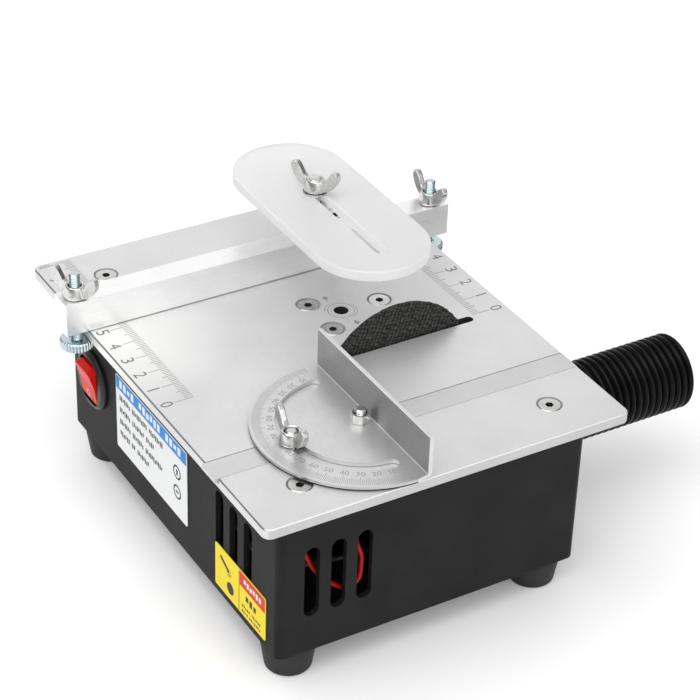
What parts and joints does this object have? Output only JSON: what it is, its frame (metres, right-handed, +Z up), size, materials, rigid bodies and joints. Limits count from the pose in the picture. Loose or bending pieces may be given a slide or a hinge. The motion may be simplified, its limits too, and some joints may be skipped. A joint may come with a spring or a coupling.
{
  "type": "bench saw with lifting abrasive disc",
  "caption": "Small bench saw for cutting stone, wood or metal pieces, with a lifting abrasive disc, a sliding fence with guard plate, a mitre gauge and a dust hose.",
  "frame": {"origin": "on the surface the feet stand on, under the middle of the bounding box at rest", "axes": "+X along the feed and the mitre groove, towards the hose; +Y from the operator's side to the back, along the blade's axis; +Z up"},
  "size_m": [0.2123, 0.179, 0.1164],
  "materials": {
    "table_aluminium": "fine satin, clear anodised",
    "fence_aluminium": "smooth, near polished",
    "miter_aluminium": "fine brushed sheet",
    "carriage_aluminium": "as cast",
    "nickel_steel": "nickel plated",
    "zinc_steel": "blue zinc plated",
    "plain_steel": "machined",
    "brass": "machined",
    "housing_plastic": "fine matte dark charcoal",
    "black_plastic": "semi-gloss black",
    "foot_rubber": "matte",
    "hose_plastic": "glossy black, ribbed",
    "abrasive": "coarse charcoal grit",
    "red_plastic": "glossy red",
    "frosted_acrylic": "frosted, translucent",
    "label_white": "printed film",
    "label_yellow": "printed film",
    "wire_red": "satin insulation",
    "wire_black": "satin insulation"
  },
  "bodies": {
    "base": {"housing": "housing_plastic", "bottom_plate": "housing_plastic", "table_plate": "table_aluminium", "table_screw_front_left": "nickel_steel", "table_screw_front_right": "nickel_steel", "table_screw_back_left": "nickel_steel", "table_screw_back_right": "nickel_steel", "foot_front_left": "foot_rubber", "foot_front_right": "foot_rubber", "foot_back_left": "foot_rubber", "foot_back_right": "foot_rubber", "foot_screw_front_left": "nickel_steel", "foot_screw_front_right": "nickel_steel", "foot_screw_back_left": "nickel_steel", "foot_screw_back_right": "nickel_steel", "lift_flange": "carriage_aluminium", "lift_flange_screw_1": "nickel_steel", "lift_flange_screw_2": "nickel_steel", "lift_flange_screw_3": "nickel_steel", "guide_rod_1": "plain_steel", "guide_rod_2": "plain_steel", "switch_body": "black_plastic", "dc_jack": "black_plastic", "hose_collar": "black_plastic", "dust_hose": "hose_plastic", "lead_red": "wire_red", "lead_black": "wire_black", "rating_label": "label_white", "warning_label": "label_yellow"},
    "lift_screw": {"lift_screw": "zinc_steel"},
    "rocker": {"rocker": "red_plastic"},
    "carriage": {"carriage": "carriage_aluminium", "lift_nut": "brass", "arbor_bearing": "nickel_steel", "motor_can": "zinc_steel", "motor_cap": "black_plastic", "drive_belt": "foot_rubber"},
    "arbor": {"arbor": "plain_steel", "arbor_pulley": "carriage_aluminium", "inner_flange": "nickel_steel", "blade": "abrasive", "outer_flange": "nickel_steel", "arbor_nut": "nickel_steel"},
    "motor_shaft": {"motor_shaft": "plain_steel"},
    "fence": {"fence_bar": "fence_aluminium", "guard_stud": "zinc_steel", "guard_spacer": "nickel_steel"},
    "clamp_screw_left": {"clamp_screw_left": "zinc_steel"},
    "clamp_screw_right": {"clamp_screw_right": "zinc_steel"},
    "clamp_nut_left": {"clamp_nut_left": "nickel_steel"},
    "clamp_nut_right": {"clamp_nut_right": "nickel_steel"},
    "guard_washer": {"guard_washer": "nickel_steel"},
    "guard_plate": {"guard_plate": "frosted_acrylic"},
    "guard_nut": {"guard_nut": "nickel_steel"},
    "miter_bar": {"miter_bar": "miter_aluminium", "miter_pivot_screw": "zinc_steel", "miter_clamp_screw": "zinc_steel", "miter_pivot_nut": "nickel_steel"},
    "miter_head": {"miter_head": "miter_aluminium"},
    "miter_clamp_nut": {"miter_clamp_nut": "nickel_steel"}
  },
  "joints": [
    {"name": "fence_slide", "type": "slide", "parent": "base", "child": "fence", "axis": [0, 1, 0], "range_m": [-0.051, 0.038]},
    {"name": "clamp_screw_left_turn", "type": "hinge", "parent": "fence", "child": "clamp_screw_left", "pos_m": [-0.0997, 0.0449, 0.076], "axis": [0, 0, 1], "continuous": true},
    {"name": "clamp_nut_left_turn", "type": "hinge", "parent": "fence", "child": "clamp_nut_left", "pos_m": [-0.0997, 0.0449, 0.091], "axis": [0, 0, 1], "continuous": true},
    {"name": "clamp_screw_right_turn", "type": "hinge", "parent": "fence", "child": "clamp_screw_right", "pos_m": [0.0452, 0.0449, 0.076], "axis": [0, 0, 1], "continuous": true},
    {"name": "clamp_nut_right_turn", "type": "hinge", "parent": "fence", "child": "clamp_nut_right", "pos_m": [0.0452, 0.0449, 0.091], "axis": [0, 0, 1], "continuous": true},
    {"name": "guard_swivel", "type": "hinge", "parent": "fence", "child": "guard_washer", "pos_m": [-0.0043, 0.0449, 0.1058], "axis": [0, 0, 1], "range_deg": [-90, 90]},
    {"name": "guard_slide", "type": "slide", "parent": "guard_washer", "child": "guard_plate", "axis": [0, 1, 0], "range_m": [0, 0.045]},
    {"name": "guard_nut_turn", "type": "hinge", "parent": "fence", "child": "guard_nut", "pos_m": [-0.0043, 0.0449, 0.108], "axis": [0, 0, 1], "continuous": true},
    {"name": "miter_slide", "type": "slide", "parent": "base", "child": "miter_bar", "axis": [1, 0, 0], "range_m": [-0.012, 0.068]},
    {"name": "miter_angle", "type": "hinge", "parent": "miter_bar", "child": "miter_head", "pos_m": [-0.0418, -0.05255, 0.077], "axis": [0, 0, 1], "range_deg": [-60, 60]},
    {"name": "miter_clamp_nut_turn", "type": "hinge", "parent": "miter_bar", "child": "miter_clamp_nut", "pos_m": [-0.0678, -0.05255, 0.08], "axis": [0, 0, 1], "continuous": true},
    {"name": "blade_lift", "type": "slide", "parent": "base", "child": "carriage", "axis": [0, 0, 1], "range_m": [-0.0145, 0]},
    {"name": "lift_screw_turn", "type": "hinge", "parent": "base", "child": "lift_screw", "pos_m": [-0.0118, 0.01165, 0.066], "axis": [0, 0, 1], "range_deg": [-20, 7480]},
    {"name": "blade_spin", "type": "hinge", "parent": "carriage", "child": "arbor", "pos_m": [-0.0043, -0.01445, 0.0612], "axis": [0, 1, 0], "continuous": true},
    {"name": "motor_spin", "type": "hinge", "parent": "carriage", "child": "motor_shaft", "pos_m": [-0.047, -0.00915, 0.048], "axis": [0, 1, 0], "continuous": true},
    {"name": "rocker_tilt", "type": "hinge", "parent": "base", "child": "rocker", "pos_m": [-0.0868, 0.06035, 0.041], "axis": [0, 1, 0], "range_deg": [0, 24]}
  ],
  "couplings": [
    {"joint": "lift_screw_turn", "follows": "blade_lift", "rad_per_m": -8976},
    {"joint": "motor_spin", "follows": "blade_spin", "ratio": 1.4}
  ]
}
